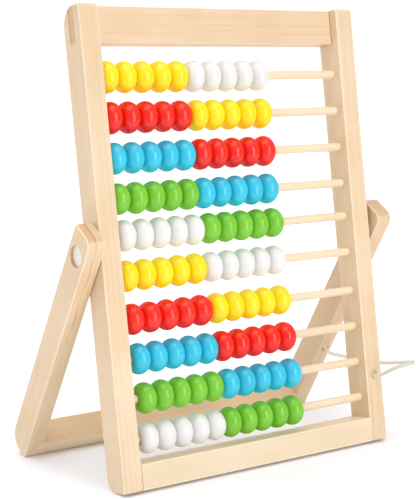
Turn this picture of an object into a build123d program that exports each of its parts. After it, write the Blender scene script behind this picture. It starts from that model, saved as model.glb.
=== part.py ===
from build123d import *
import os
from math import cos, pi, radians, sin, tan

# Wooden counting frame: ten rods of ten beads in a frame that leans back on a folding stand.
# The frame is drawn upright (X along the rods, Y from front to back, Z up its posts, zero at
# the middle of its front bottom edge) and then leaned. The stand is drawn with its pivot at
# zero and its legs straight down, and then swung back until its sole meets the floor.

# Frame
FRAME_WIDTH = 232.0
FRAME_HEIGHT = 324.0
POST_WIDTH = 15.0
POST_DEPTH = 22.0
TOP_BACK_ROUND = 14.0  # of a post's corners, seen from the side
BOTTOM_BACK_ROUND = 10.0
TOP_FRONT_ROUND = 3.0
BOTTOM_FRONT_ROUND = 2.0
EASE = 1.0  # radius along every long edge of a post
LEAN = 9.0  # degrees back from upright
BOTTOM_RAIL_HEIGHT = 18.0
TOP_RAIL_HEIGHT = 24.4
TOP_RAIL_DROP = 0.6  # from the post's top to the rail's top
RAIL_EASE = 0.6
TONGUE_THICKNESS = POST_DEPTH / 3
TOP_RAIL_SETBACK = POST_DEPTH / 3
TONGUE_SHORT = 0.4  # the tongue's end lies this far inside the post's outer face
SHOULDER_GAP = 0.4
DOWEL_DIAMETER = 6.0
DOWEL_IN_POST = 9.0
DOWEL_IN_RAIL = 15.0
DOWEL_SPACING = 10.0

# Rods and beads
BEADS_IN_GROUP = 5
FIRST_ROD_HEIGHT = 276.7
ROW_PITCH = 27.0
ROW_LIFTS = (0.0, 0.0, 0.0, 0.0, 2.2, 2.2, 0.0, 0.0, 0.0, 0.0)  # how far off the pitch a rod sits
ROD_DIAMETER = 6.0
ROD_DEPTH = 10.0  # from the posts' front faces to the middle of the rods
ROD_HOLE_DEPTH = 8.0
ROD_END_GAP = 0.5
BEAD_DIAMETER = 22.0
BEAD_PITCH = 13.8
BEAD_GAP = 0.1
BEAD_BORE = 6.7
BEAD_FLAT_DIAMETER = 10.0  # of the flat ring round the bore
# How far each row's beads stand off the left post as they were left, from the top row down.
REST_GAPS = (0.0, 0.0, 0.2, 0.0, 2.0, 0.8, 2.2, 4.0, 6.0, 4.8)

# Stand
PIVOT_HEIGHT = 160.0  # up the post from its bottom
LEG_ANGLE = 31.5  # degrees back from upright
LEG_WIDTH = 22.0
LEG_THICKNESS = 13.0
LEG_GAP = 1.8  # on average, between a leg and its post
FRAME_OFF_MIDDLE = -1.4  # where the frame's middle lies along X, measured from the legs' middle
LEG_ABOVE_PIVOT = 19.0
LEG_TOP_BACK_ROUND = 1.5
LEG_TOP_FRONT_ROUND = 7.0
FOOT_THICKNESS = 13.0
FOOT_BACK_ROUND = 12.0
FOOT_FRONT_ROUND = 2.0
LEG_EASE = 1.0

# Pivot hardware
SCREW_DIAMETER = 4.0
SCREW_IN_POST = 9.0
SCREW_HEAD_DIAMETER = 8.0
SCREW_HEAD_HEIGHT = 2.2
SCREW_SLOT = 1.0
PIVOT_CLEARANCE = 0.05
COUNTERBORE_DIAMETER = 15.0
COUNTERBORE_DEPTH = 7.0
WASHER_DIAMETER = 12.0
WASHER_THICKNESS = 0.8
CAP_RECESS = 2.0
CAP_THICKNESS = 1.5
CAP_EASE = 0.4
SPACER_DIAMETER = 14.0

# Stay cord and its pegs
CORD_DIAMETER = 3.0
CORD_HOLE_DIAMETER = 6.4
CORD_HOLE_DEPTH = 9.0
CORD_OFFSET = 1.6  # the cord lies this far below the middle of its hole
CORD_IN_HOLE = 6.0
CORD_STRAIGHT = 5.0  # how far it runs straight out of a hole
PEG_RECESS = 1.0
POST_CORD_HEIGHT = 50.0
LEG_CORD_BELOW_PIVOT = 114.0

# Worked out from the above
inner_width = FRAME_WIDTH - 2 * POST_WIDTH
half_inner = inner_width / 2
half_frame = FRAME_WIDTH / 2
post_middle = half_frame - POST_WIDTH / 2
mid_depth = POST_DEPTH / 2
leg_inside = half_frame + LEG_GAP
leg_outside = leg_inside + LEG_THICKNESS
leg_middle = leg_inside + LEG_THICKNESS / 2
lean, leg_swing = radians(LEAN), radians(LEG_ANGLE)
lift = BOTTOM_BACK_ROUND * (1 - cos(lean)) + (POST_DEPTH - BOTTOM_BACK_ROUND) * sin(lean)
pivot_y = PIVOT_HEIGHT * sin(lean) + mid_depth * cos(lean)
pivot_z = PIVOT_HEIGHT * cos(lean) - mid_depth * sin(lean) + lift
sole_corner_drop = (LEG_WIDTH / 2 - FOOT_FRONT_ROUND) * sin(leg_swing)
stand_reach = FOOT_FRONT_ROUND + (pivot_z - sole_corner_drop - FOOT_FRONT_ROUND) / cos(leg_swing)
foot_top = FOOT_THICKNESS - stand_reach
rod_heights = [FIRST_ROD_HEIGHT - ROW_PITCH * row + lift_up for row, lift_up in enumerate(ROW_LIFTS)]
free_travel = inner_width - 2 * BEADS_IN_GROUP * BEAD_PITCH

frame_place = Pos(FRAME_OFF_MIDDLE, 0, lift) * Rot(X=-LEAN)
stand_place = Pos(0, pivot_y, pivot_z) * Rot(X=LEG_ANGLE)


def along_x(diameter, start, end, y=0.0, z=0.0):
    """A round bar along X from start to end."""
    return Pos((start + end) / 2, y, z) * Rot(Y=90) * Cylinder(diameter / 2, abs(end - start))


def along_y(diameter, start, end, x=0.0, z=0.0):
    """A round bar along Y from start to end."""
    return Pos(x, (start + end) / 2, z) * Rot(X=90) * Cylinder(diameter / 2, abs(end - start))


def along_z(diameter, start, end, x=0.0, y=0.0):
    """A round bar along Z from start to end."""
    return Pos(x, y, (start + end) / 2) * Cylinder(diameter / 2, abs(end - start))


def block(x0, x1, y0, y1, z0, z1):
    """A box between its two corners."""
    return Pos((x0 + x1) / 2, (y0 + y1) / 2, (z0 + z1) / 2) * Box(x1 - x0, y1 - y0, z1 - z0)


def side_profile(y0, y1, z0, z1, rounds):
    """A board's outline seen from the side, with a radius for each corner.

    rounds gives the radii of the corners bottom front, bottom back, top back, top front."""
    outline = Plane.YZ * Pos((y0 + y1) / 2, (z0 + z1) / 2) * Rectangle(y1 - y0, z1 - z0)
    corners = [(y0, z0), (y1, z0), (y1, z1), (y0, z1)]
    for (y, z), radius in zip(corners, rounds):
        if radius:
            corner = outline.vertices().sort_by_distance((0, y, z))[0]
            outline = fillet(corner, radius)
    return outline


def board(x0, x1, outline, ease, eased_ends):
    """A board cut to a side outline, from x0 to x1, with the edges of the named ends eased."""
    solid = Pos(x0, 0, 0) * extrude(outline, x1 - x0)
    for x in eased_ends:
        rim = solid.edges().filter_by_position(Axis.X, x - 0.01, x + 0.01)
        solid = fillet(rim, ease)
    return solid


def post_outline():
    """A post seen from the side."""
    return side_profile(
        0, POST_DEPTH, 0, FRAME_HEIGHT,
        (BOTTOM_FRONT_ROUND, BOTTOM_BACK_ROUND, TOP_BACK_ROUND, TOP_FRONT_ROUND),
    )


def make_post(side):
    """One post; side is -1 for the left and 1 for the right."""
    low, high = sorted((side * half_inner, side * half_frame))
    post = board(low, high, post_outline(), EASE, (low, high))
    rail_bottom = FRAME_HEIGHT - TOP_RAIL_DROP - TOP_RAIL_HEIGHT
    post -= block(
        low - 1, high + 1, TOP_RAIL_SETBACK, TOP_RAIL_SETBACK + TONGUE_THICKNESS,
        rail_bottom, FRAME_HEIGHT + 1,
    )
    for height in rod_heights:
        post -= along_x(
            ROD_DIAMETER, side * half_inner, side * (half_inner + ROD_HOLE_DEPTH), ROD_DEPTH, height
        )
    for y in dowel_depths():
        post -= along_x(
            DOWEL_DIAMETER, side * half_inner, side * (half_inner + DOWEL_IN_POST), y,
            BOTTOM_RAIL_HEIGHT / 2,
        )
    post -= along_x(
        SCREW_DIAMETER, side * half_frame, side * (half_frame - SCREW_IN_POST), mid_depth,
        PIVOT_HEIGHT,
    )
    if side > 0:
        post -= along_y(CORD_HOLE_DIAMETER, 0, CORD_HOLE_DEPTH, post_middle, POST_CORD_HEIGHT)
    return post


def dowel_depths():
    """How far back from the front each of the two dowels of a bottom joint lies."""
    return [mid_depth - DOWEL_SPACING / 2, mid_depth + DOWEL_SPACING / 2]


def make_top_rail():
    """The top rail: set back from the posts' fronts, with a barefaced tongue through each post."""
    bottom = FRAME_HEIGHT - TOP_RAIL_DROP - TOP_RAIL_HEIGHT
    top = FRAME_HEIGHT - TOP_RAIL_DROP
    shoulder = half_inner - SHOULDER_GAP
    body = block(-shoulder, shoulder, TOP_RAIL_SETBACK, POST_DEPTH, bottom, top)
    body = fillet(body.edges().filter_by(Axis.X), RAIL_EASE)
    reach = half_frame - TONGUE_SHORT
    tongue = block(
        -reach, reach, TOP_RAIL_SETBACK, TOP_RAIL_SETBACK + TONGUE_THICKNESS, bottom, top
    )
    tongue &= Pos(-reach, 0, 0) * extrude(post_outline(), 2 * reach)
    for side in (-1, 1):
        low, high = sorted((side * shoulder, side * reach))
        body += tongue & block(low, high, 0, POST_DEPTH, bottom, top)
    return body


def make_bottom_rail():
    """The bottom rail, flush with the posts' fronts and backs, drilled for its dowels."""
    outline = side_profile(
        0, POST_DEPTH, 0, BOTTOM_RAIL_HEIGHT,
        (BOTTOM_FRONT_ROUND, BOTTOM_BACK_ROUND, RAIL_EASE, RAIL_EASE),
    )
    rail = board(-half_inner, half_inner, outline, 0, ())
    for side in (-1, 1):
        for y in dowel_depths():
            rail -= along_x(
                DOWEL_DIAMETER, side * half_inner, side * (half_inner - DOWEL_IN_RAIL), y,
                BOTTOM_RAIL_HEIGHT / 2,
            )
    return rail


def make_dowels():
    """The four dowels that hold the bottom rail."""
    return [
        along_x(
            DOWEL_DIAMETER, side * (half_inner - DOWEL_IN_RAIL), side * (half_inner + DOWEL_IN_POST),
            y, BOTTOM_RAIL_HEIGHT / 2,
        )
        for side in (-1, 1)
        for y in dowel_depths()
    ]


def make_rod(height):
    """One rod, held in a blind hole in each post."""
    end = half_inner + ROD_HOLE_DEPTH - ROD_END_GAP
    return along_x(ROD_DIAMETER, -end, end, ROD_DEPTH, height)


def make_bead():
    """A bead on the X axis, centred on zero: a ring with a round outside and flat ends."""
    half = (BEAD_PITCH - BEAD_GAP) / 2
    outline = make_face(
        [
            Line((-half, BEAD_BORE / 2), (half, BEAD_BORE / 2)),
            Line((half, BEAD_BORE / 2), (half, BEAD_FLAT_DIAMETER / 2)),
            ThreePointArc(
                (half, BEAD_FLAT_DIAMETER / 2), (0, BEAD_DIAMETER / 2), (-half, BEAD_FLAT_DIAMETER / 2)
            ),
            Line((-half, BEAD_FLAT_DIAMETER / 2), (-half, BEAD_BORE / 2)),
        ]
    )
    return revolve(outline, Axis.X)


def make_bead_group(bead, height, gap, first):
    """Five beads side by side on a rod, the first of them that many beads along the row."""
    return [
        Pos(-half_inner + gap + (first + i + 0.5) * BEAD_PITCH, ROD_DEPTH, height) * bead
        for i in range(BEADS_IN_GROUP)
    ]


def stand_end(side, eased_faces):
    """A leg with the foot's end below it in one piece, with the edges of the named faces eased."""
    half = LEG_WIDTH / 2
    outline = side_profile(
        -half, half, -stand_reach, LEG_ABOVE_PIVOT,
        (FOOT_FRONT_ROUND, FOOT_BACK_ROUND, LEG_TOP_BACK_ROUND, LEG_TOP_FRONT_ROUND),
    )
    low, high = sorted((side * leg_inside, side * leg_outside))
    return board(low, high, outline, LEG_EASE, eased_faces)


def foot_wedge():
    """The room below the two mitres, where the foot meets the legs."""
    run_on = LEG_THICKNESS / 3
    drop = run_on * FOOT_THICKNESS / LEG_THICKNESS
    outer, bottom = leg_outside + run_on, -stand_reach - drop
    front = Plane.XZ * Polygon(
        (-outer, bottom), (outer, bottom), (leg_inside, foot_top), (-leg_inside, foot_top),
        align=None,
    )
    return extrude(front, LEG_WIDTH, both=True)


def make_leg(side):
    """One leg of the stand, in the stand's own frame, mitred where it meets the foot."""
    leg = stand_end(side, (side * leg_inside, side * leg_outside)) - foot_wedge()
    leg -= along_x(SCREW_DIAMETER + 2 * PIVOT_CLEARANCE, side * leg_inside, side * leg_outside)
    leg -= along_x(
        COUNTERBORE_DIAMETER, side * (leg_outside - COUNTERBORE_DEPTH), side * (leg_outside + 1)
    )
    if side > 0:
        front = -LEG_WIDTH / 2
        leg -= along_y(
            CORD_HOLE_DIAMETER, front, front + CORD_HOLE_DEPTH, leg_middle, -LEG_CORD_BELOW_PIVOT
        )
    return leg


def make_foot():
    """The board between the legs' lower ends, mitred to them; its back lower edge is round."""
    half = LEG_WIDTH / 2
    outline = side_profile(
        -half, half, -stand_reach, foot_top, (FOOT_FRONT_ROUND, FOOT_BACK_ROUND, LEG_EASE, LEG_EASE)
    )
    middle = board(-leg_inside, leg_inside, outline, 0, ())
    ends = [stand_end(side, (side * leg_outside,)) & foot_wedge() for side in (-1, 1)]
    return middle + ends[0] + ends[1]


def make_pivot_screw(side):
    """A pivot screw on the X axis: fixed in the post, with its head in the leg's counterbore."""
    seat = leg_outside - COUNTERBORE_DEPTH + PIVOT_CLEARANCE + WASHER_THICKNESS
    crown = seat + SCREW_HEAD_HEIGHT
    tip = side * (half_frame - SCREW_IN_POST) + FRAME_OFF_MIDDLE
    shank = along_x(SCREW_DIAMETER, tip, side * seat)
    head = along_x(SCREW_HEAD_DIAMETER, side * seat, side * crown)
    low, high = sorted((side * (crown - SCREW_SLOT), side * crown))
    radius = SCREW_HEAD_DIAMETER / 2
    slot = block(low, high, -SCREW_SLOT / 2, SCREW_SLOT / 2, -radius, radius)
    return shank + head - slot


def ring(start, end, outside, inside):
    """A washer on the X axis between start and end."""
    return along_x(outside, start, end) - along_x(inside, start, end)


def make_pivot_washer(side):
    """The steel washer under a pivot screw's head."""
    start = leg_outside - COUNTERBORE_DEPTH + PIVOT_CLEARANCE
    end = start + WASHER_THICKNESS
    return ring(side * start, side * end, WASHER_DIAMETER, SCREW_DIAMETER)


def make_pivot_spacer(side):
    """The washer that fills the gap between a post and its leg."""
    start = side * half_frame + FRAME_OFF_MIDDLE
    return ring(start, side * (leg_inside - PIVOT_CLEARANCE), SPACER_DIAMETER, SCREW_DIAMETER)


def make_pivot_cap(side):
    """The round cap that closes a leg's counterbore."""
    face = leg_outside - CAP_RECESS
    cap = along_x(COUNTERBORE_DIAMETER, side * (face - CAP_THICKNESS), side * face)
    rim = cap.edges().filter_by_position(Axis.X, *sorted((side * face - 0.01, side * face + 0.01)))
    return fillet(rim, CAP_EASE)


def make_peg(x, front, z):
    """A peg that holds the cord in its hole, with a groove along its underside for the cord."""
    peg = along_y(CORD_HOLE_DIAMETER, front + PEG_RECESS, front + CORD_HOLE_DEPTH, x, z)
    cord_z = z - CORD_OFFSET
    cord_groove = along_y(CORD_DIAMETER, front, front + CORD_IN_HOLE, x, cord_z)
    mouth = block(
        x - CORD_DIAMETER / 2, x + CORD_DIAMETER / 2, front, front + CORD_IN_HOLE,
        z - CORD_HOLE_DIAMETER, cord_z,
    )
    return peg - cord_groove - mouth


# The upright model is moved so that zero lies under its middle. Its front is the posts' bottom
# front edge and its back is the foot's round back edge.
front_y = BOTTOM_FRONT_ROUND * (cos(lean) + sin(lean) - 1)
foot_round_y = (LEG_WIDTH / 2 - FOOT_BACK_ROUND) * cos(leg_swing)
back_y = pivot_y + foot_round_y + (stand_reach - FOOT_BACK_ROUND) * sin(leg_swing) + FOOT_BACK_ROUND
to_origin = Pos(0, -(front_y + back_y) / 2, 0)
frame_place = to_origin * frame_place
stand_place = to_origin * stand_place


def placed_point(place, x, y, z):
    """A point of the frame's or the stand's own drawing, where it is on the standing object."""
    return (place * Pos(x, y, z)).position


def cord_route():
    """The cord's points, from inside the leg's hole to inside the hole in the post's front.

    It runs forward past the outside of the post and comes back in a slack loop."""
    leg_front = -LEG_WIDTH / 2
    leg_z = -LEG_CORD_BELOW_PIVOT - CORD_OFFSET
    post_z = POST_CORD_HEIGHT - CORD_OFFSET
    return [
        placed_point(stand_place, leg_middle, leg_front + CORD_IN_HOLE, leg_z),
        placed_point(stand_place, leg_middle, leg_front - CORD_STRAIGHT, leg_z),
        Vector(122.4, -5.5, 53.6),
        Vector(123.0, -27.0, 54.0),
        Vector(124.6, -49.0, 55.8),
        Vector(126.0, -68.0, 59.6),
        Vector(126.3, -80.4, 62.2),
        Vector(122.8, -85.6, 63.5),
        Vector(116.7, -87.8, 63.8),
        Vector(110.8, -86.2, 62.6),
        Vector(107.5, -80.8, 60.2),
        placed_point(frame_place, post_middle, -CORD_STRAIGHT, post_z),
        placed_point(frame_place, post_middle, CORD_IN_HOLE, post_z),
    ]


def make_cord():
    """The cord's tube: straight runs joined by arcs as large as the runs allow."""
    points = cord_route()
    radii = []
    turns = list(zip(points, points[1:], points[2:]))
    for before, corner, after in turns:
        arriving, leaving = corner - before, after - corner
        turn = radians(arriving.get_angle(leaving))
        radii.append(0.45 * min(arriving.length, leaving.length) / tan(turn / 2))
    print("cord radii, mm:", [round(radius, 1) for radius in radii])
    path = FilletPolyline(*points, radius=radii)
    section = Plane(origin=path @ 0, z_dir=path % 0) * Circle(CORD_DIAMETER / 2)
    tube = sweep(section, path=path)
    expected = pi * CORD_DIAMETER**2 / 4 * path.length
    print("cord length, mm:", round(path.length, 1), "volume", round(tube.volume), "of", round(expected))
    return tube


def write(name, solids, place):
    """Writes one node: a solid or a group of separate solids, moved to its place."""
    solids = solids if isinstance(solids, list) else [solids]
    moved = [place * solid for solid in solids]
    node = moved[0] if len(moved) == 1 else Compound(children=moved)
    export_step(node, f"parts/{name}.step")


os.makedirs("parts", exist_ok=True)
upright = Pos(0, 0, 0)
for side, name in ((-1, "left"), (1, "right")):
    write(f"{name}_post", make_post(side), frame_place)
    write(f"{name}_pivot_screw", make_pivot_screw(side), stand_place)
    write(f"{name}_pivot_washer", make_pivot_washer(side), stand_place)
    write(f"{name}_pivot_spacer", make_pivot_spacer(side), stand_place)
    write(f"{name}_leg", make_leg(side), stand_place)
    write(f"{name}_pivot_cap", make_pivot_cap(side), stand_place)
write("top_rail", make_top_rail(), frame_place)
write("bottom_rail", make_bottom_rail(), frame_place)
write("bottom_rail_dowels", make_dowels(), frame_place)
bead = make_bead()
for row, (height, gap) in enumerate(zip(rod_heights, REST_GAPS), start=1):
    write(f"rod_{row:02d}", make_rod(height), frame_place)
    write(f"row_{row:02d}_left_beads", make_bead_group(bead, height, gap, 0), frame_place)
    right_beads = make_bead_group(bead, height, gap, BEADS_IN_GROUP)
    write(f"row_{row:02d}_right_beads", right_beads, frame_place)
write("foot_board", make_foot(), stand_place)
write("post_cord_peg", make_peg(post_middle, 0, POST_CORD_HEIGHT), frame_place)
write("leg_cord_peg", make_peg(leg_middle, -LEG_WIDTH / 2, -LEG_CORD_BELOW_PIVOT), stand_place)
write("stay_cord", make_cord(), upright)

pivot = placed_point(stand_place, 0, 0, 0)
print("pivot, mm:", pivot, "reach", round(stand_reach, 2), "free travel", free_travel)
print("shift, mm:", to_origin.position, "lift", round(lift, 4))
print("route, mm:", [tuple(round(v, 2) for v in point) for point in cord_route()])
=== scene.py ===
import math
import random

import bpy
from mathutils import Matrix, Vector


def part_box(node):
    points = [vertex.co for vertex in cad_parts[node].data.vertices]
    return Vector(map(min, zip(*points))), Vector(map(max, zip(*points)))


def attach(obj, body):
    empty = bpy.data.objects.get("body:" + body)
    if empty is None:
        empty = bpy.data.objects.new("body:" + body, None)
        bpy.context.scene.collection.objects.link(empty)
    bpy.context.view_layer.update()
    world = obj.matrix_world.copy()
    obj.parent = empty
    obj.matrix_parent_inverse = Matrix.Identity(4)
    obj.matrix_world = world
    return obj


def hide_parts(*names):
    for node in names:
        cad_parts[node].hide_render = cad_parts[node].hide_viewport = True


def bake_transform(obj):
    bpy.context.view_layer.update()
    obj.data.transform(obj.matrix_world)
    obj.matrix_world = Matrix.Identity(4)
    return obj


# A counting frame on a folding stand. The beads, the caps on the legs and the stay cord are made
# again here in finer shapes. Everything else keeps its CAD shape and gets a material.

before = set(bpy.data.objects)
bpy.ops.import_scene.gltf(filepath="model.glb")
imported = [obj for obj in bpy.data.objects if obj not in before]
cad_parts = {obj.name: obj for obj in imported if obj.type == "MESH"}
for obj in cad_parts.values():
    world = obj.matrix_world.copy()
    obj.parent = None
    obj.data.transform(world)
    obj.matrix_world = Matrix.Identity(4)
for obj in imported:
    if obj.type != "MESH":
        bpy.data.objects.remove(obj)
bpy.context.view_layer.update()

MM = 0.001
ROWS = 10
SIDES = ("left", "right")

# How the object stands: the posts lean back, and the legs rise forwards to them from their foot.
LEAN = math.radians(9.0)
LEG_SWING = math.radians(31.5)
ACROSS = Vector((1, 0, 0))
UP_POST = Vector((0, math.sin(LEAN), math.cos(LEAN)))
INTO_POST = Vector((0, math.cos(LEAN), -math.sin(LEAN)))
UP_LEG = Vector((0, -math.sin(LEG_SWING), math.cos(LEG_SWING)))
INTO_LEG = Vector((0, math.cos(LEG_SWING), math.sin(LEG_SWING)))
FRAME_MIDDLE = -1.4 * MM  # along X, from the legs' middle
RAIL_SHOULDER = 101 * MM  # from the frame's middle to a post
LEG_SEAM = -124.6 * MM  # where a dark grain line runs down the left leg

# Beads
BEAD_RADIUS = 11 * MM
BEAD_PITCH = 13.8 * MM
BEAD_HALF = 6.85 * MM  # half of a bead's length along its rod
BEAD_BORE = 3.35 * MM  # radius
BEAD_MOUTH = 0.45 * MM  # how far the bore's mouth is rounded
BEAD_FACE = 5 * MM  # radius of the flat round the bore
BEAD_SHADED_RIM = 0.07  # share of the bulge, at each end, that counts as rim and is darkened as painted shade where beads meet
BEADS_IN_GROUP = 5
BEAD_SEGMENTS = 64
BEAD_DROP = 0.2 * MM  # a bead hangs this far below its rod's middle
BEAD_TILT = 0.5  # degrees, either way
BEAD_WIDTHS = (0.965, 0.99)  # smallest and largest, as shares of the full radius
BEAD_LENGTHS = (0.972, 0.985)
ROW_COLOURS = ("yellow", "red", "blue", "green", "white")

# Caps: a rolled rim and a shallow dish, as (share of the radius, share of the thickness)
CAP_OUTLINE = (
    (1.0, 0.0), (1.0, 0.55), (1.0, 0.75), (0.985, 0.9), (0.93, 0.99), (0.86, 0.995),
    (0.8, 0.95), (0.76, 0.87), (0.73, 0.83), (0.5, 0.81), (0.25, 0.8),
)
CAP_HUB = 0.8
CAP_CLEARANCE = 0.02 * MM

# Cord
CORD_DIAMETER = 3.0 * MM
CORD_TWIST_PITCH = 8.5 * MM
CORD_STRANDS = 3
CORD_ROUTE = (
    (0.1243, 0.02453, 0.05713),
    (0.1243, 0.01515, 0.05138),
    (0.1224, -0.0055, 0.0536),
    (0.1230, -0.0270, 0.0540),
    (0.1246, -0.0490, 0.0558),
    (0.1260, -0.0680, 0.0596),
    (0.1263, -0.0804, 0.0622),
    (0.1228, -0.0856, 0.0635),
    (0.1167, -0.0878, 0.0638),
    (0.1108, -0.0862, 0.0626),
    (0.1075, -0.0808, 0.0602),
    (0.1071, -0.06487, 0.05059),
    (0.1071, -0.05401, 0.04887),
)
CORD_TIP = Vector((0.1200, -0.0870, 0.0637))  # the loop's far end, where hands take hold of it
CORD_TIP_DARKENING = 36 * MM  # how far along the cord, from its tip, it is made darker

# Camera, with its turns in degrees and its lens and sensor in mm
CAMERA_PLACE = (-0.5400, -0.7784, 0.2858)
CAMERA_AZIMUTH = 34.51
CAMERA_DOWN = 10.41
CAMERA_ROLL = -0.13
CAMERA_LENS = 113.1
SENSOR_WIDTH = 36.0
CAMERA_SHIFT = (0.003, 0.117)

# Colours
PALE = (0.80, 0.63, 0.44, 1)
PALE_DARK = (0.70, 0.49, 0.29, 1)
RAIL_PALE = (0.79, 0.60, 0.41, 1)
RAIL_DARK = (0.68, 0.46, 0.27, 1)
FOOT_PALE = (0.75, 0.55, 0.36, 1)
FOOT_DARK = (0.62, 0.42, 0.25, 1)
# Painted light: a paler colour for the foot board's front faces.
FOOT_FRONT_PAINTED_LIGHT = (0.92, 0.76, 0.55, 1)
CREAM = (0.83, 0.69, 0.50, 1)
CREAM_DARK = (0.74, 0.57, 0.37, 1)
# The right leg's wood, darker all over as painted shade.
SHADED = (0.74, 0.57, 0.39, 1)
SHADED_DARK = (0.63, 0.43, 0.25, 1)
ROD_PALE = (0.84, 0.70, 0.51, 1)
ROD_DARK = (0.75, 0.59, 0.40, 1)
CAP_WHITE = (0.88, 0.85, 0.80, 1)
CAP_SHADE = (0.82, 0.78, 0.72, 1)
SPACER_WHITE = (0.85, 0.84, 0.81, 1)
SPACER_SHADE = (0.78, 0.77, 0.73, 1)
LACQUERS = {  # each as its colour and a deeper one
    "yellow": ((0.95, 0.79, 0.010, 1), (0.90, 0.62, 0.004, 1)),
    "red": ((0.95, 0.022, 0.008, 1), (0.74, 0.010, 0.005, 1)),
    "blue": ((0.040, 0.57, 0.78, 1), (0.022, 0.44, 0.62, 1)),
    "green": ((0.21, 0.58, 0.034, 1), (0.14, 0.46, 0.020, 1)),
    "white": ((0.80, 0.79, 0.78, 1), (0.74, 0.725, 0.705, 1)),
}


# ---------------------------------------------------------------- materials

WAVE_PERIOD = 0.314  # of Blender's ring texture at scale 1, in its own units
EDGE_HIGHLIGHT_GAIN = (1.15, 1.2, 1.28)  # painted highlight: how much paler the rounded long edges are made, in red, green and blue


class Graph:
    """A material's node tree, with short calls for the nodes that it is made of."""

    def __init__(self, name):
        self.material = bpy.data.materials.new(name)
        self.material.use_nodes = True
        self.tree = self.material.node_tree
        self.tree.nodes.clear()
        self.output = self.node("ShaderNodeOutputMaterial")
        self.shader = self.node("ShaderNodeBsdfPrincipled")
        self.join(self.shader.outputs["BSDF"], self.output.inputs["Surface"])

    def node(self, kind, **settings):
        made = self.tree.nodes.new(kind)
        for key, value in settings.items():
            setattr(made, key, value)
        return made

    def join(self, source, socket):
        """Feeds a socket from another socket, or sets it to a value."""
        if isinstance(source, bpy.types.NodeSocket):
            self.tree.links.new(source, socket)
        else:
            socket.default_value = source

    def object_place(self):
        """A point's place in the object's own frame, in metres."""
        return self.node("ShaderNodeTexCoord").outputs["Object"]

    def place_mm(self):
        """A point's place in the object's own frame, in mm."""
        return self.moved(self.object_place(), scale=(1 / MM, 1 / MM, 1 / MM))

    def along_x(self):
        """A point's distance along the object's X axis, in metres."""
        split = self.node("ShaderNodeSeparateXYZ")
        self.join(self.object_place(), split.inputs[0])
        return split.outputs[0]

    def height(self):
        """A point's height above the floor, in metres."""
        split = self.node("ShaderNodeSeparateXYZ")
        self.join(self.object_place(), split.inputs[0])
        return split.outputs[2]

    def facing(self, direction):
        """How squarely the surface faces along a direction or against it, from 0 to 1."""
        normal = self.node("ShaderNodeTexCoord").outputs["Normal"]
        return self.maths("ABSOLUTE", self.vector("DOT_PRODUCT", normal, tuple(direction)))

    def attribute(self, name):
        return self.node("ShaderNodeAttribute", attribute_name=name).outputs["Fac"]

    def maths(self, operation, first, second=0.0, clamp=False):
        made = self.node("ShaderNodeMath", operation=operation, use_clamp=clamp)
        self.join(first, made.inputs[0])
        self.join(second, made.inputs[1])
        return made.outputs[0]

    def vector(self, operation, first, second=(0, 0, 0)):
        made = self.node("ShaderNodeVectorMath", operation=operation)
        self.join(first, made.inputs[0])
        self.join(second, made.inputs[1])
        return made.outputs["Value" if operation in ("DOT_PRODUCT", "LENGTH") else "Vector"]

    def moved(self, source, location=(0, 0, 0), rotation=(0, 0, 0), scale=(1, 1, 1)):
        made = self.node("ShaderNodeMapping")
        self.join(source, made.inputs["Vector"])
        made.inputs["Location"].default_value = location
        made.inputs["Rotation"].default_value = rotation
        made.inputs["Scale"].default_value = scale
        return made.outputs[0]

    def noise(self, source, scale, detail=3.0, roughness=0.5, distortion=0.0):
        made = self.node("ShaderNodeTexNoise")
        self.join(source, made.inputs["Vector"])
        made.inputs["Scale"].default_value = scale
        made.inputs["Detail"].default_value = detail
        made.inputs["Roughness"].default_value = roughness
        made.inputs["Distortion"].default_value = distortion
        return made.outputs["Fac"]

    def spread(self, value, low, high, to_low=0.0, to_high=1.0, smooth=False):
        made = self.node("ShaderNodeMapRange", clamp=True)
        made.interpolation_type = "SMOOTHSTEP" if smooth else "LINEAR"
        for socket, item in zip(made.inputs, (value, low, high, to_low, to_high)):
            self.join(item, socket)
        return made.outputs[0]

    def mix(self, amount, first, second):
        """A colour between two others. Blender keeps a mix node's colour sockets at these numbers."""
        made = self.node("ShaderNodeMix", data_type="RGBA")
        self.join(amount, made.inputs[0])
        self.join(first, made.inputs[6])
        self.join(second, made.inputs[7])
        return made.outputs[2]

    def bump(self, height, strength, distance):
        made = self.node("ShaderNodeBump")
        self.join(height, made.inputs["Height"])
        made.inputs["Strength"].default_value = strength
        made.inputs["Distance"].default_value = distance
        self.join(made.outputs["Normal"], self.shader.inputs["Normal"])

    def set(self, **values):
        """Feeds the shader's sockets by name, or sets them to values."""
        for name, value in values.items():
            self.join(value, self.shader.inputs[name.replace("_", " ")])


def turned_to(grain, width):
    """The rotation that carries a board's grain onto X and its width onto Y."""
    rows = Matrix((grain, width, grain.cross(width)))
    return rows.to_euler("XYZ")


def darker(colour, share):
    """A colour with each channel taken down to a share of itself."""
    return [channel * share for channel in colour[:3]] + [1]


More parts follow.
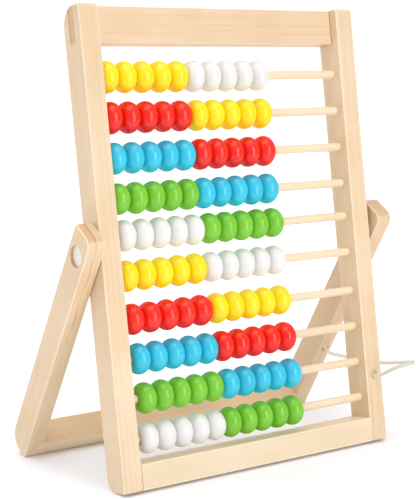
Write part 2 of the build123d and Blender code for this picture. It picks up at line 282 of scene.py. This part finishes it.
def add_seam(g, board, colour, end, seam):
    """A dark grain line down a board at x = seam, fading downwards, with darker wood outside it."""
    wander = g.noise(g.moved(board, scale=(0.02, 0, 0)), 1.0, 2.0)
    wander = g.spread(wander, 0.3, 0.7, -1.5 * MM, 1.5 * MM)
    off = g.maths("SUBTRACT", g.maths("SUBTRACT", g.along_x(), seam), wander)
    line = g.spread(g.maths("ABSOLUTE", off), 0.2 * MM, 0.9 * MM, 1.0, 0.0, smooth=True)
    broken = g.spread(g.noise(g.moved(board, scale=(0.03, 0, 0)), 1.3, 1.0), 0.4, 0.6, 0.1, 0.55)
    broken = g.maths("MAXIMUM", broken, g.maths("MULTIPLY", end, 0.8))
    broken = g.maths("MULTIPLY", broken, g.spread(g.height(), 60 * MM, 120 * MM, 0.2, 1.0))
    outside = g.maths("MULTIPLY", g.spread(off, 0.4 * MM, -0.4 * MM), g.maths("MULTIPLY", end, 0.3))
    colour = g.mix(outside, colour, (0.52, 0.28, 0.12, 1))
    return g.mix(g.maths("MULTIPLY", line, broken), colour, (0.42, 0.2, 0.08, 1))


def paint_shoulder_shadow(g, colour, shoulder):
    """The dark line where a rail's shoulders meet the posts, this far from the frame's middle: a joint line
    painted darker as the shadow in the gap there.
    """
    off = g.maths("ABSOLUTE", g.maths("SUBTRACT", g.along_x(), FRAME_MIDDLE))
    gap = g.spread(off, shoulder - 0.9 * MM, shoulder - 0.2 * MM, 0.0, 0.8, smooth=True)
    off_tongue = g.spread(off, shoulder + 2 * MM, shoulder + 3 * MM, 1.0, 0.0)
    # Painted shadow in the gap beside each post.
    return g.mix(g.maths("MULTIPLY", gap, off_tongue), colour, (0.30, 0.17, 0.07, 1))


def paint_edge_highlights(g, board, colour, width, light):
    """Painted highlight: paler wood where the board's long edges are rounded, as if they caught the light.
    """
    turned = g.facing(width)
    edge = g.maths("MULTIPLY", g.spread(turned, 0.1, 0.3), g.spread(turned, 0.985, 0.93))
    edge_highlight = g.maths("MULTIPLY", edge, g.spread(g.noise(board, 0.3, 3.0), 0.3, 0.6, 0.45, 0.8))
    highlight_colour = [min(1, channel * gain) for channel, gain in zip(light, EDGE_HIGHLIGHT_GAIN)] + [1]
    return g.mix(edge_highlight, colour, highlight_colour)


def wood(
    name, grain, width, pith, light, dark, ring_gap=3.2, figure=1.0, seam=None, edge_highlights=True,
    shoulder=None, front=None,
):
    """Pale close-grained wood as a solid block: rings round a pith, fibres, pores and end grain.

    pith is where the pith lies from the board, in mm along its grain, width and thickness.
    ring_gap is the distance between rings in mm, and figure is how strongly the grain shows.
    seam is the place of a dark grain line and shoulder the place of a painted shadow line at a joint, both
    in metres.
    front is the colour of the faces square to the width, where it differs: painted light that makes those
    faces paler.
    """
    g = Graph(name)
    board = g.moved(g.object_place(), pith, turned_to(grain, width), (1 / MM, 1 / MM, 1 / MM))
    fine = g.moved(board, scale=(0.02, 1, 1))

    drift = g.noise(g.moved(board, scale=(0.012, 0.05, 0.05)), 1.0, 2.0)
    swirl = g.node("ShaderNodeTexWave", wave_type="RINGS", rings_direction="X", wave_profile="SAW")
    g.join(g.moved(board, scale=(0.035, 1, 1)), swirl.inputs["Vector"])
    swirl.inputs["Scale"].default_value = WAVE_PERIOD / ring_gap
    swirl.inputs["Distortion"].default_value = 9.0
    swirl.inputs["Detail"].default_value = 3.0
    swirl.inputs["Detail Scale"].default_value = 0.3
    fading = g.spread(g.noise(g.moved(board, scale=(0.01, 0.12, 0.12)), 1.0, 2.0), 0.35, 0.65)
    rings = g.maths("MULTIPLY", g.maths("POWER", swirl.outputs["Fac"], 2.2), fading)
    fibres = g.noise(fine, 2.6, 5.0, 0.62)
    streaks = g.noise(fine, 0.4, 3.0, 0.55)
    pores = g.spread(g.noise(g.moved(board, scale=(0.12, 1, 1)), 3.4, 2.0), 0.66, 0.74)
    clouds = g.noise(board, 0.02, 2.0)

    tone = g.maths("MULTIPLY", rings, 0.34 * figure)
    tone = g.maths("ADD", tone, g.spread(streaks, 0.35, 0.75, 0.0, 0.34 * figure))
    tone = g.maths("ADD", tone, g.spread(fibres, 0.3, 0.75, 0.0, 0.2))
    tone = g.maths("ADD", tone, g.spread(clouds, 0.3, 0.7, -0.1, 0.34))
    tone = g.maths("ADD", tone, g.spread(drift, 0.3, 0.7, -0.08, 0.14), clamp=True)
    colour = g.mix(tone, light, dark)
    colour = g.mix(g.maths("MULTIPLY", pores, 0.25), colour, darker(dark, 0.7))

    end = g.spread(g.facing(grain), 0.72, 0.93, smooth=True)
    end_colour = g.mix(g.spread(g.noise(board, 1.6, 4.0, 0.7), 0.3, 0.75), dark, darker(dark, 0.78))
    end_colour = g.mix(g.maths("MULTIPLY", rings, 0.5), end_colour, darker(dark, 0.7))
    colour = g.mix(g.maths("MULTIPLY", end, 0.8), colour, end_colour)
    if seam is not None:
        colour = add_seam(g, board, colour, end, seam)
    if shoulder is not None:
        colour = paint_shoulder_shadow(g, colour, shoulder)
    # Painted highlights along the rounded long edges.
    if edge_highlights:
        colour = paint_edge_highlights(g, board, colour, width, light)
    # Painted light on the faces square to the width.
    if front is not None:
        colour = g.mix(g.spread(g.facing(width), 0.985, 0.995, 0.0, 0.8), colour, front)

    rough = g.spread(fibres, 0.3, 0.75, 0.42, 0.56)
    rough = g.maths("ADD", rough, g.maths("MULTIPLY", end, 0.12))
    relief = g.maths("ADD", g.maths("MULTIPLY", fibres, 0.6), g.maths("MULTIPLY", pores, -0.7))
    relief = g.maths("ADD", relief, g.maths("MULTIPLY", rings, 0.25))
    g.bump(relief, 0.2, 0.08 * MM)
    g.set(Base_Color=colour, Roughness=rough)
    g.shader.inputs["Specular IOR Level"].default_value = 0.35
    g.shader.inputs["Coat Weight"].default_value = 0.05
    g.shader.inputs["Coat Roughness"].default_value = 0.35
    return g.material


def lacquer(name, colour, deep):
    """Opaque gloss lacquer dipped over a turned bead, with bare wood just inside its bore, and painted
    shade on the rims where beads meet.
    """
    g = Graph(name)
    place = g.place_mm()
    tint, bore, rim = (g.attribute(key) for key in ("tint", "bore", "rim"))
    flow = g.noise(place, 0.11, 3.0, 0.55)
    speck = g.spread(g.noise(place, 2.2, 2.0), 0.70, 0.78)
    amount = g.maths("ADD", g.maths("MULTIPLY", tint, 0.35), g.spread(flow, 0.3, 0.7, 0.0, 0.4), clamp=True)
    body = g.mix(amount, colour, deep)
    body = g.mix(g.maths("MULTIPLY", speck, 0.25), body, deep)
    # Painted shade: the rims and flat faces, where beads meet, are darkened.
    body = g.mix(g.maths("MULTIPLY", rim, 0.5), body, darker(deep, 0.8))
    bare = g.mix(g.noise(place, 1.4, 3.0), (0.62, 0.44, 0.25, 1), (0.45, 0.3, 0.16, 1))
    body = g.mix(bore, body, bare)
    turning = g.noise(g.moved(place, scale=(1.0, 0.08, 0.08)), 2.4, 2.0)
    peel = g.noise(place, 0.9, 2.0)
    g.bump(g.maths("ADD", g.maths("MULTIPLY", turning, 0.5), peel), 0.03, 0.04 * MM)
    smear = g.noise(place, 0.35, 4.0, 0.6)
    grazing = g.node("ShaderNodeLayerWeight").outputs["Facing"]
    g.set(
        Base_Color=body,
        Roughness=g.spread(smear, 0.3, 0.75, 0.3, 0.4),
        Specular_IOR_Level=g.spread(grazing, 0.2, 0.65, 0.2, 0.03),
        Coat_Weight=g.spread(grazing, 0.25, 0.7, 0.85, 0.06),
    )
    g.shader.inputs["Specular Tint"].default_value = [0.45 + 0.55 * c for c in colour[:3]] + [1]
    g.shader.inputs["Coat Roughness"].default_value = 0.22
    return g.material


def plastic(name, light, dark):
    """Smooth moulded white plastic with faint flow marks."""
    g = Graph(name)
    place = g.place_mm()
    flow = g.noise(place, 0.25, 3.0, 0.6, 0.8)
    g.set(
        Base_Color=g.mix(g.spread(flow, 0.3, 0.7), light, dark),
        Roughness=g.spread(g.noise(place, 0.8, 3.0), 0.3, 0.7, 0.3, 0.45),
    )
    g.bump(g.noise(place, 3.0, 2.0), 0.06, 0.05 * MM)
    return g.material


def steel(name):
    """Bright zinc-plated steel, with fine scratches and small dull patches."""
    g = Graph(name)
    place = g.place_mm()
    scratches = g.noise(g.moved(place, scale=(6.0, 0.5, 0.5)), 2.0, 4.0)
    patches = g.noise(place, 0.6, 3.0)
    g.set(
        Base_Color=g.mix(g.spread(patches, 0.35, 0.7), (0.72, 0.73, 0.74, 1), (0.5, 0.51, 0.53, 1)),
        Roughness=g.spread(scratches, 0.3, 0.7, 0.22, 0.42),
    )
    g.shader.inputs["Metallic"].default_value = 1.0
    g.bump(scratches, 0.1, 0.03 * MM)
    return g.material


def cotton(name):
    """Natural cotton with fine fibres, painted shade in the hollows between its strands, and darker towards
    the loop's tip.
    """
    g = Graph(name)
    place = g.place_mm()
    fuzz = g.noise(place, 7.0, 4.0, 0.7, 1.2)
    patches = g.noise(place, 0.4, 2.0)
    # Painted shade in the hollows between the strands, with the fibres' own tone added.
    shade = g.maths("MULTIPLY", g.attribute("hollow"), 0.6)
    shade = g.maths("ADD", shade, g.spread(fuzz, 0.3, 0.8, 0.0, 0.4), clamp=True)
    colour = g.mix(shade, (0.93, 0.90, 0.83, 1), (0.76, 0.71, 0.62, 1))
    colour = g.mix(g.spread(patches, 0.4, 0.7, 0.0, 0.3), colour, (0.89, 0.85, 0.77, 1))
    # Darker towards the loop's tip.
    colour = g.mix(g.attribute("tip_darkening"), colour, (0.57, 0.55, 0.48, 1))
    g.set(Base_Color=colour, Roughness=g.spread(fuzz, 0.3, 0.7, 0.8, 0.95))
    g.shader.inputs["Sheen Weight"].default_value = 0.04
    g.shader.inputs["Sheen Roughness"].default_value = 0.5
    g.bump(fuzz, 0.5, 0.15 * MM)
    return g.material


# ---------------------------------------------------------------- meshes

def mesh_piece(name, vertices, faces, attributes=None, smooth=True):
    """A new piece from its vertices, its faces and a number for each vertex by attribute name."""
    mesh = bpy.data.meshes.new(name)
    mesh.from_pydata([tuple(v) for v in vertices], [], faces)
    for key, values in (attributes or {}).items():
        layer = mesh.attributes.new(key, "FLOAT", "POINT")
        layer.data.foreach_set("value", values)
    mesh.update()
    if smooth:
        mesh.polygons.foreach_set("use_smooth", [True] * len(mesh.polygons))
    piece = bpy.data.objects.new(name, mesh)
    bpy.context.collection.objects.link(piece)
    return piece


def bead_outline():
    """Half a section of a bead as (x, radius, is it bore, is it rim), all the way round; the rim value is
    how much painted shade a point gets.
    """
    centre = (BEAD_RADIUS**2 - BEAD_FACE**2 - BEAD_HALF**2) / (2 * (BEAD_RADIUS - BEAD_FACE))
    bulge = BEAD_RADIUS - centre
    reach = math.atan2(BEAD_HALF, BEAD_FACE - centre)
    steps, mouth_steps = 30, 4
    points = []
    for i in range(steps + 1):
        angle = -reach + 2 * reach * i / steps
        rim = max(0.0, (abs(angle) / reach - (1 - BEAD_SHADED_RIM)) / BEAD_SHADED_RIM)
        points.append((bulge * math.sin(angle), centre + bulge * math.cos(angle), 0.0, rim))
    points.append((BEAD_HALF, (BEAD_FACE + BEAD_BORE) / 2, 0.0, 1.0))
    for i in range(mouth_steps + 1):
        angle = math.pi / 2 * i / mouth_steps
        inward = BEAD_MOUTH * math.sin(angle)
        lower = BEAD_MOUTH * (1 - math.cos(angle))
        points.append((BEAD_HALF - lower, BEAD_BORE + BEAD_MOUTH - inward, i / mouth_steps, 1.0))
    mirrored = [(-x, r, b, m) for x, r, b, m in reversed(points[steps + 1:])]
    return points + mirrored


def add_bead(outline, place, tint, vertices, faces, attributes):
    """Turns one bead's outline round the X axis, moves it to its place and adds it to the lists."""
    first = len(vertices)
    count = len(outline)
    for step in range(BEAD_SEGMENTS):
        angle = 2 * math.pi * step / BEAD_SEGMENTS
        for x, radius, bore, rim in outline:
            vertices.append(place @ Vector((x, radius * math.cos(angle), radius * math.sin(angle))))
            attributes["tint"].append(tint)
            attributes["bore"].append(bore)
            attributes["rim"].append(rim)
    for step in range(BEAD_SEGMENTS):
        here, there = first + step * count, first + (step + 1) % BEAD_SEGMENTS * count
        for i in range(count):
            j = (i + 1) % count
            faces.append((here + i, here + j, there + j, there + i))


def make_bead_group(node, dice):
    """Five turned beads for a CAD group, each a little different in size, tilt and tint."""
    low, high = (Vector(corner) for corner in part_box(node))
    middle = (low + high) / 2
    outline = bead_outline()
    vertices, faces, attributes = [], [], {"tint": [], "bore": [], "rim": []}
    for i in range(BEADS_IN_GROUP):
        centre = Vector((low.x + (i + 0.5) * BEAD_PITCH, middle.y, middle.z - BEAD_DROP))
        size = dice.uniform(*BEAD_WIDTHS)
        turn = (
            Matrix.Rotation(math.radians(dice.uniform(-BEAD_TILT, BEAD_TILT)), 4, "Z")
            @ Matrix.Rotation(math.radians(dice.uniform(-BEAD_TILT, BEAD_TILT)), 4, "Y")
            @ Matrix.Rotation(dice.uniform(0, 2 * math.pi), 4, "X")
        )
        stretch = Matrix.Diagonal((dice.uniform(*BEAD_LENGTHS), size, size, 1))
        place = Matrix.Translation(centre) @ turn @ stretch
        add_bead(outline, place, dice.random(), vertices, faces, attributes)
    piece = mesh_piece(node.replace("_beads", "_turned_beads"), vertices, faces, attributes)
    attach(piece, node)
    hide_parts(node)
    return piece


def make_cap(side):
    """A leg's round cap: a shallow dish with a rolled rim, turned round the X axis."""
    node = f"{side}_pivot_cap"
    low, high = (Vector(corner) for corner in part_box(node))
    middle = (low + high) / 2
    sign, face = (-1, low.x) if side == "left" else (1, high.x)
    radius = (high.z - low.z) / 2 - CAP_CLEARANCE
    thickness = high.x - low.x
    steps = 72

    def across(depth):
        """The x of a depth, which is 0 at the cap's back and 1 at its face."""
        return face - sign * thickness * (1 - depth)

    vertices, faces = [], []
    for k in range(steps):
        angle = 2 * math.pi * k / steps
        for share, depth in CAP_OUTLINE:
            r = share * radius
            vertices.append(
                (across(depth), middle.y + r * math.cos(angle), middle.z + r * math.sin(angle))
            )
    hub, base = len(vertices), len(vertices) + 1
    vertices.append((across(CAP_HUB), middle.y, middle.z))
    vertices.append((across(0.0), middle.y, middle.z))
    count = len(CAP_OUTLINE)
    for k in range(steps):
        here, there = k * count, (k + 1) % steps * count
        for i in range(count - 1):
            faces.append((here + i, here + i + 1, there + i + 1, there + i))
        faces.append((here + count - 1, hub, there + count - 1))
        faces.append((here, there, base))
    if sign > 0:
        faces = [face_corners[::-1] for face_corners in faces]
    piece = mesh_piece(f"{side}_dished_cap", vertices, faces)
    piece.data.materials.append(plastic(f"{side}_cap_plastic", CAP_WHITE, CAP_SHADE))
    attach(piece, "stand")
    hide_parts(node)
    return piece


def route_line():
    """The points down the middle of the cord, read from the route's own NURBS spline."""
    curve = bpy.data.curves.new("cord_route", "CURVE")
    curve.dimensions = "3D"
    curve.resolution_u = 24
    spline = curve.splines.new("NURBS")
    spline.points.add(len(CORD_ROUTE) - 1)
    for point, place in zip(spline.points, CORD_ROUTE):
        point.co = (*place, 1)
    spline.order_u = 3
    spline.use_endpoint_u = True
    carrier = bpy.data.objects.new("cord_route", curve)
    mesh = bpy.data.meshes.new_from_object(carrier)
    line = [vertex.co.copy() for vertex in mesh.vertices]
    bpy.data.objects.remove(carrier)
    bpy.data.curves.remove(curve)
    bpy.data.meshes.remove(mesh)
    return line


def make_cord():
    """A three-strand twisted cotton cord along its route."""
    line = route_line()
    sides = 36
    radius = CORD_DIAMETER / 2
    vertices, faces, hollow, tip_darkening = [], [], [], []
    walked = 0.0
    across = Vector((0, 0, 1))
    for i, point in enumerate(line):
        ahead = line[min(i + 1, len(line) - 1)] - line[max(i - 1, 0)]
        ahead.normalize()
        if i:
            walked += (point - line[i - 1]).length
        across = (across - ahead * across.dot(ahead)).normalized()
        other = ahead.cross(across)
        turn = 2 * math.pi * walked / CORD_TWIST_PITCH
        for k in range(sides):
            angle = 2 * math.pi * k / sides
            lobe = abs(math.sin(CORD_STRANDS * (angle - turn) / 2))
            r = radius * (0.74 + 0.26 * lobe**0.6)
            vertices.append(point + across * (r * math.cos(angle)) + other * (r * math.sin(angle)))
            hollow.append(1 - min(1.0, lobe * 1.6))
            tip_darkening.append(max(0.0, 1 - (point - CORD_TIP).length / CORD_TIP_DARKENING))
    for i in range(len(line) - 1):
        for k in range(sides):
            j = (k + 1) % sides
            faces.append((i * sides + k, i * sides + j, (i + 1) * sides + j, (i + 1) * sides + k))
    faces.append(tuple(range(sides))[::-1])
    faces.append(tuple((len(line) - 1) * sides + k for k in range(sides)))
    piece = mesh_piece("twisted_stay_cord", vertices, faces, {"hollow": hollow, "tip_darkening": tip_darkening})
    piece.data.materials.append(cotton("natural_cotton"))
    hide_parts("stay_cord")
    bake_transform(piece)
    return piece


# ---------------------------------------------------------------- finishes

def dress(node, material):
    """Gives a CAD node its material."""
    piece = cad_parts[node]
    if not piece.material_slots:
        piece.data.materials.append(material)
    for slot in piece.material_slots:
        slot.material = material


def dress_wood():
    """The frame's and the stand's boards, each cut from its own place in a tree."""
    dress("left_post", wood("wood_left_post", UP_POST, ACROSS, (0, 150, 38), PALE, PALE_DARK))
    dress("right_post", wood("wood_right_post", UP_POST, ACROSS, (310, -62, -44), PALE, PALE_DARK))
    dress("top_rail", wood(
        "wood_top_rail", ACROSS, INTO_POST, (80, 22, -330), RAIL_PALE, RAIL_DARK, 3.6,
        shoulder=RAIL_SHOULDER,
    ))
    dress("bottom_rail", wood(
        "wood_bottom_rail", ACROSS, INTO_POST, (520, 84, 24), CREAM, CREAM_DARK, 3.6, 0.8
    ))
    dress("left_leg", wood(
        "wood_left_leg", UP_LEG, ACROSS, (40, 172, 26), PALE, PALE_DARK, 3.4, seam=LEG_SEAM
    ))
    # The right leg is darker all over: painted shade.
    dress("right_leg", wood(
        "wood_right_leg", UP_LEG, ACROSS, (160, -96, 31), SHADED, SHADED_DARK, 3.1
    ))
    dress("foot_board", wood(
        "wood_foot_board", ACROSS, INTO_LEG, (700, -90, 120), FOOT_PALE, FOOT_DARK, 3.5,
        front=FOOT_FRONT_PAINTED_LIGHT,
    ))
    rods = wood(
        "wood_rods", ACROSS, INTO_POST, (900, 60, 35), ROD_PALE, ROD_DARK, 2.2, 0.7, edge_highlights=False
    )
    for row in range(1, ROWS + 1):
        dress(f"rod_{row:02d}", rods)
    dress("bottom_rail_dowels", rods)
    pegs = wood(
        "wood_pegs", INTO_POST, ACROSS, (40, 20, 15), ROD_PALE, ROD_DARK, 1.5, edge_highlights=False
    )
    dress("post_cord_peg", pegs)
    dress("leg_cord_peg", pegs)


def dress_hardware():
    """The steel and plastic pieces that stay as they are in CAD."""
    zinc = steel("zinc_steel_finish")
    spacer = plastic("spacer_plastic", SPACER_WHITE, SPACER_SHADE)
    for side in SIDES:
        dress(f"{side}_pivot_screw", zinc)
        dress(f"{side}_pivot_washer", zinc)
        dress(f"{side}_pivot_spacer", spacer)


def make_beads():
    """All the rows' beads: the right five of a row have the colour of the left five above it."""
    dice = random.Random(7)
    finishes = {name: lacquer(f"{name}_lacquer_finish", *pair) for name, pair in LACQUERS.items()}
    for row in range(1, ROWS + 1):
        left = ROW_COLOURS[(row - 1) % len(ROW_COLOURS)]
        right = ROW_COLOURS[(row - 2) % len(ROW_COLOURS)]
        for side, colour in (("left", left), ("right", right)):
            piece = make_bead_group(f"row_{row:02d}_{side}_beads", dice)
            piece.data.materials.append(finishes[colour])


# ---------------------------------------------------------------- stage

def make_camera():
    """The camera, standing to the left of the front and looking slightly down."""
    azimuth, down = math.radians(CAMERA_AZIMUTH), math.radians(CAMERA_DOWN)
    roll = math.radians(CAMERA_ROLL)
    ahead = Vector((
        math.sin(azimuth) * math.cos(down), math.cos(azimuth) * math.cos(down), -math.sin(down)
    ))
    right = Vector((math.cos(azimuth), -math.sin(azimuth), 0))
    up = right.cross(ahead)
    right, up = right * math.cos(roll) + up * math.sin(roll), up * math.cos(roll) - right * math.sin(roll)
    data = bpy.data.cameras.new("camera")
    data.sensor_fit = "HORIZONTAL"
    data.sensor_width = SENSOR_WIDTH
    data.lens = CAMERA_LENS
    data.shift_x, data.shift_y = CAMERA_SHIFT
    data.clip_start, data.clip_end = 0.01, 100
    camera = bpy.data.objects.new("camera", data)
    turn = Matrix((right, up, -ahead)).transposed().to_4x4()
    camera.matrix_world = Matrix.Translation(CAMERA_PLACE) @ turn
    bpy.context.collection.objects.link(camera)
    bpy.context.scene.camera = camera


def soft_light(name, place, target, size, power):
    """A rectangular soft white light that faces its target."""
    data = bpy.data.lights.new(name, "AREA")
    data.shape = "RECTANGLE"
    data.size, data.size_y = size
    data.energy = power
    light = bpy.data.objects.new(name, data)
    light.location = place
    light.rotation_euler = (Vector(target) - Vector(place)).to_track_quat("-Z", "Y").to_euler()
    bpy.context.collection.objects.link(light)


def make_floor():
    """A white table top that glows, faintly near the object and more strongly further away, and ends
    shortly in front of the object.
    """
    half, front = 14.0, -0.4
    floor = mesh_piece(
        "floor", [(-half, front, 0), (half, front, 0), (half, half, 0), (-half, half, 0)],
        [(0, 1, 2, 3)], smooth=False,
    )
    g = Graph("floor_finish")
    grain = g.noise(g.object_place(), 30.0, 3.0)
    away = g.vector("LENGTH", g.object_place())
    g.set(
        Base_Color=g.mix(grain, (0.885, 0.885, 0.93, 1), (0.87, 0.87, 0.915, 1)),
        Roughness=g.spread(grain, 0.3, 0.7, 0.6, 0.75),
        Emission_Color=(1, 1, 1, 1),
        Emission_Strength=g.spread(away, 0.12, 0.6, 0.03, 0.4),
    )
    g.shader.inputs["Specular IOR Level"].default_value = 0.1
    floor.data.materials.append(g.material)


def make_light():
    """A studio that is white behind the object and dimmer in front, with a tall soft key light."""
    world = bpy.data.worlds.new("studio")
    world.use_nodes = True
    tree = world.node_tree
    sky = tree.nodes["Background"]
    sky.inputs["Color"].default_value = (1.0, 1.0, 1.0, 1)
    coords = tree.nodes.new("ShaderNodeTexCoord")
    split = tree.nodes.new("ShaderNodeSeparateXYZ")
    fade = tree.nodes.new("ShaderNodeMapRange")
    fade.inputs["From Min"].default_value = -0.35
    fade.inputs["From Max"].default_value = 0.05
    fade.inputs["To Min"].default_value = 0.46
    fade.inputs["To Max"].default_value = 1.06
    tree.links.new(coords.outputs["Generated"], split.inputs[0])
    tree.links.new(split.outputs[1], fade.inputs[0])
    tree.links.new(fade.outputs[0], sky.inputs["Strength"])
    bpy.context.scene.world = world
    soft_light("key", (0.12, -1.46, 0.38), target=(0, 0, 0.2), size=(0.6, 1.9), power=14.5)
    soft_light("top", (-0.3, -0.2, 1.7), target=(0, 0, 0.1), size=(1.4, 1.4), power=12.0)


make_camera()
make_cord()
dress_wood()
dress_hardware()
make_beads()
for side_name in SIDES:
    make_cap(side_name)
make_floor()
make_light()

settings = bpy.context.scene.view_settings
settings.view_transform = "Standard"
settings.look = "None"
settings.exposure = 0.0
